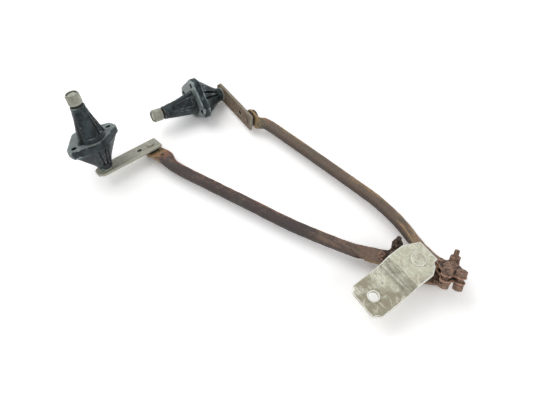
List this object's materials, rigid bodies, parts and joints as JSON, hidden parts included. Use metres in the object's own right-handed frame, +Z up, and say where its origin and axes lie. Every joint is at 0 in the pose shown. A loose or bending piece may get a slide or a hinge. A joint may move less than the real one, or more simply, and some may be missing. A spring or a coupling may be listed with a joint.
{
  "type": "windscreen wiper linkage",
  "caption": "Windscreen wiper linkage: ribbed cast pivots with levers and knurled drivers, bent tube rods and a stepped motor crank joined by bolted ball sockets.",
  "frame": {"origin": "the point on the bench under the middle of the linkage's outer box", "axes": "+X from the left pivot towards the motor crank's end, +Y away from the viewer of the picture, +Z up off the bench"},
  "size_m": [0.3862, 0.2914, 0.1039],
  "materials": {
    "zinc_plate": "dull mottled zinc plate",
    "bright_steel": "satin",
    "lever_steel": "dull, spotted with rust",
    "rusty_tube": "worn brown paint with rust along its edges",
    "rusty_steel": "rough rust",
    "dark_casting": "dark satin with scuffed edges",
    "black_rubber": "matt",
    "bronze": "satin",
    "nylon": "matt"
  },
  "bodies": {
    "crank_body": {"crank_plate": "zinc_plate", "crank_pillar": "zinc_plate", "stud_carrier": "rusty_steel", "left_ball_stud": "bright_steel", "right_ball_stud": "bright_steel"},
    "left_rod_body": {"left_rod": "rusty_tube", "left_rod_rubber": "black_rubber", "left_socket_top": "rusty_steel", "left_socket_base": "rusty_steel", "left_ball_seat": "nylon", "left_socket_rivet": "rusty_steel", "left_socket_bolt_2": "rusty_steel", "left_socket_bolt_3": "rusty_steel", "left_socket_nut_2": "rusty_steel", "left_socket_nut_3": "rusty_steel"},
    "left_lever_body": {"left_lever": "lever_steel", "left_lever_pin": "lever_steel", "left_pin_washer": "lever_steel", "left_pivot_shaft": "bright_steel", "left_arm_driver": "bright_steel", "left_thrust_washer": "bright_steel"},
    "left_housing_body": {"left_pivot_housing": "dark_casting", "left_lower_bush": "bronze", "left_upper_bush": "bronze", "left_shaft_seal": "black_rubber"},
    "right_rod_body": {"right_rod": "rusty_tube", "right_rod_rubber": "black_rubber", "right_socket_top": "rusty_steel", "right_socket_base": "rusty_steel", "right_ball_seat": "nylon", "right_socket_rivet": "rusty_steel", "right_socket_bolt_2": "rusty_steel", "right_socket_bolt_3": "rusty_steel", "right_socket_bolt_4": "rusty_steel", "right_socket_nut_2": "rusty_steel", "right_socket_nut_3": "rusty_steel", "right_socket_nut_4": "rusty_steel"},
    "right_lever_body": {"right_lever": "lever_steel", "right_lever_pin": "lever_steel", "right_pin_washer": "lever_steel", "right_pivot_shaft": "bright_steel", "right_arm_driver": "bright_steel", "right_thrust_washer": "bright_steel"},
    "right_housing_body": {"right_pivot_housing": "dark_casting", "right_lower_bush": "bronze", "right_upper_bush": "bronze", "right_shaft_seal": "black_rubber"}
  },
  "joints": [
    {"name": "left_rod_swing", "type": "hinge", "parent": "crank_body", "child": "left_rod_body", "pos_m": [0.13216, -0.08547, 0.01656], "axis": [0, 0, 1], "range_deg": [-3, 24]},
    {"name": "left_lever_turn", "type": "hinge", "parent": "left_rod_body", "child": "left_lever_body", "pos_m": [-0.11867, 0.05491, 0.01483], "axis": [-0.1704, 0.287, 0.9426], "range_deg": [-45, 45]},
    {"name": "left_shaft_turn", "type": "hinge", "parent": "left_lever_body", "child": "left_housing_body", "pos_m": [-0.16084, 0.02223, 0.01716], "axis": [-0.1704, 0.287, 0.9426], "range_deg": [-60, 60]},
    {"name": "right_rod_swing", "type": "hinge", "parent": "crank_body", "child": "right_rod_body", "pos_m": [0.17976, -0.09897, 0.02206], "axis": [0, 0, 1], "range_deg": [-30, 3]},
    {"name": "right_lever_turn", "type": "hinge", "parent": "right_rod_body", "child": "right_lever_body", "pos_m": [-0.01397, 0.08986, 0.01673], "axis": [-0.8262, -0.5407, 0.1582], "range_deg": [-45, 45]},
    {"name": "right_shaft_turn", "type": "hinge", "parent": "right_lever_body", "child": "right_housing_body", "pos_m": [-0.04374, 0.13393, 0.01186], "axis": [-0.8262, -0.5407, 0.1582], "range_deg": [-60, 60]}
  ]
}
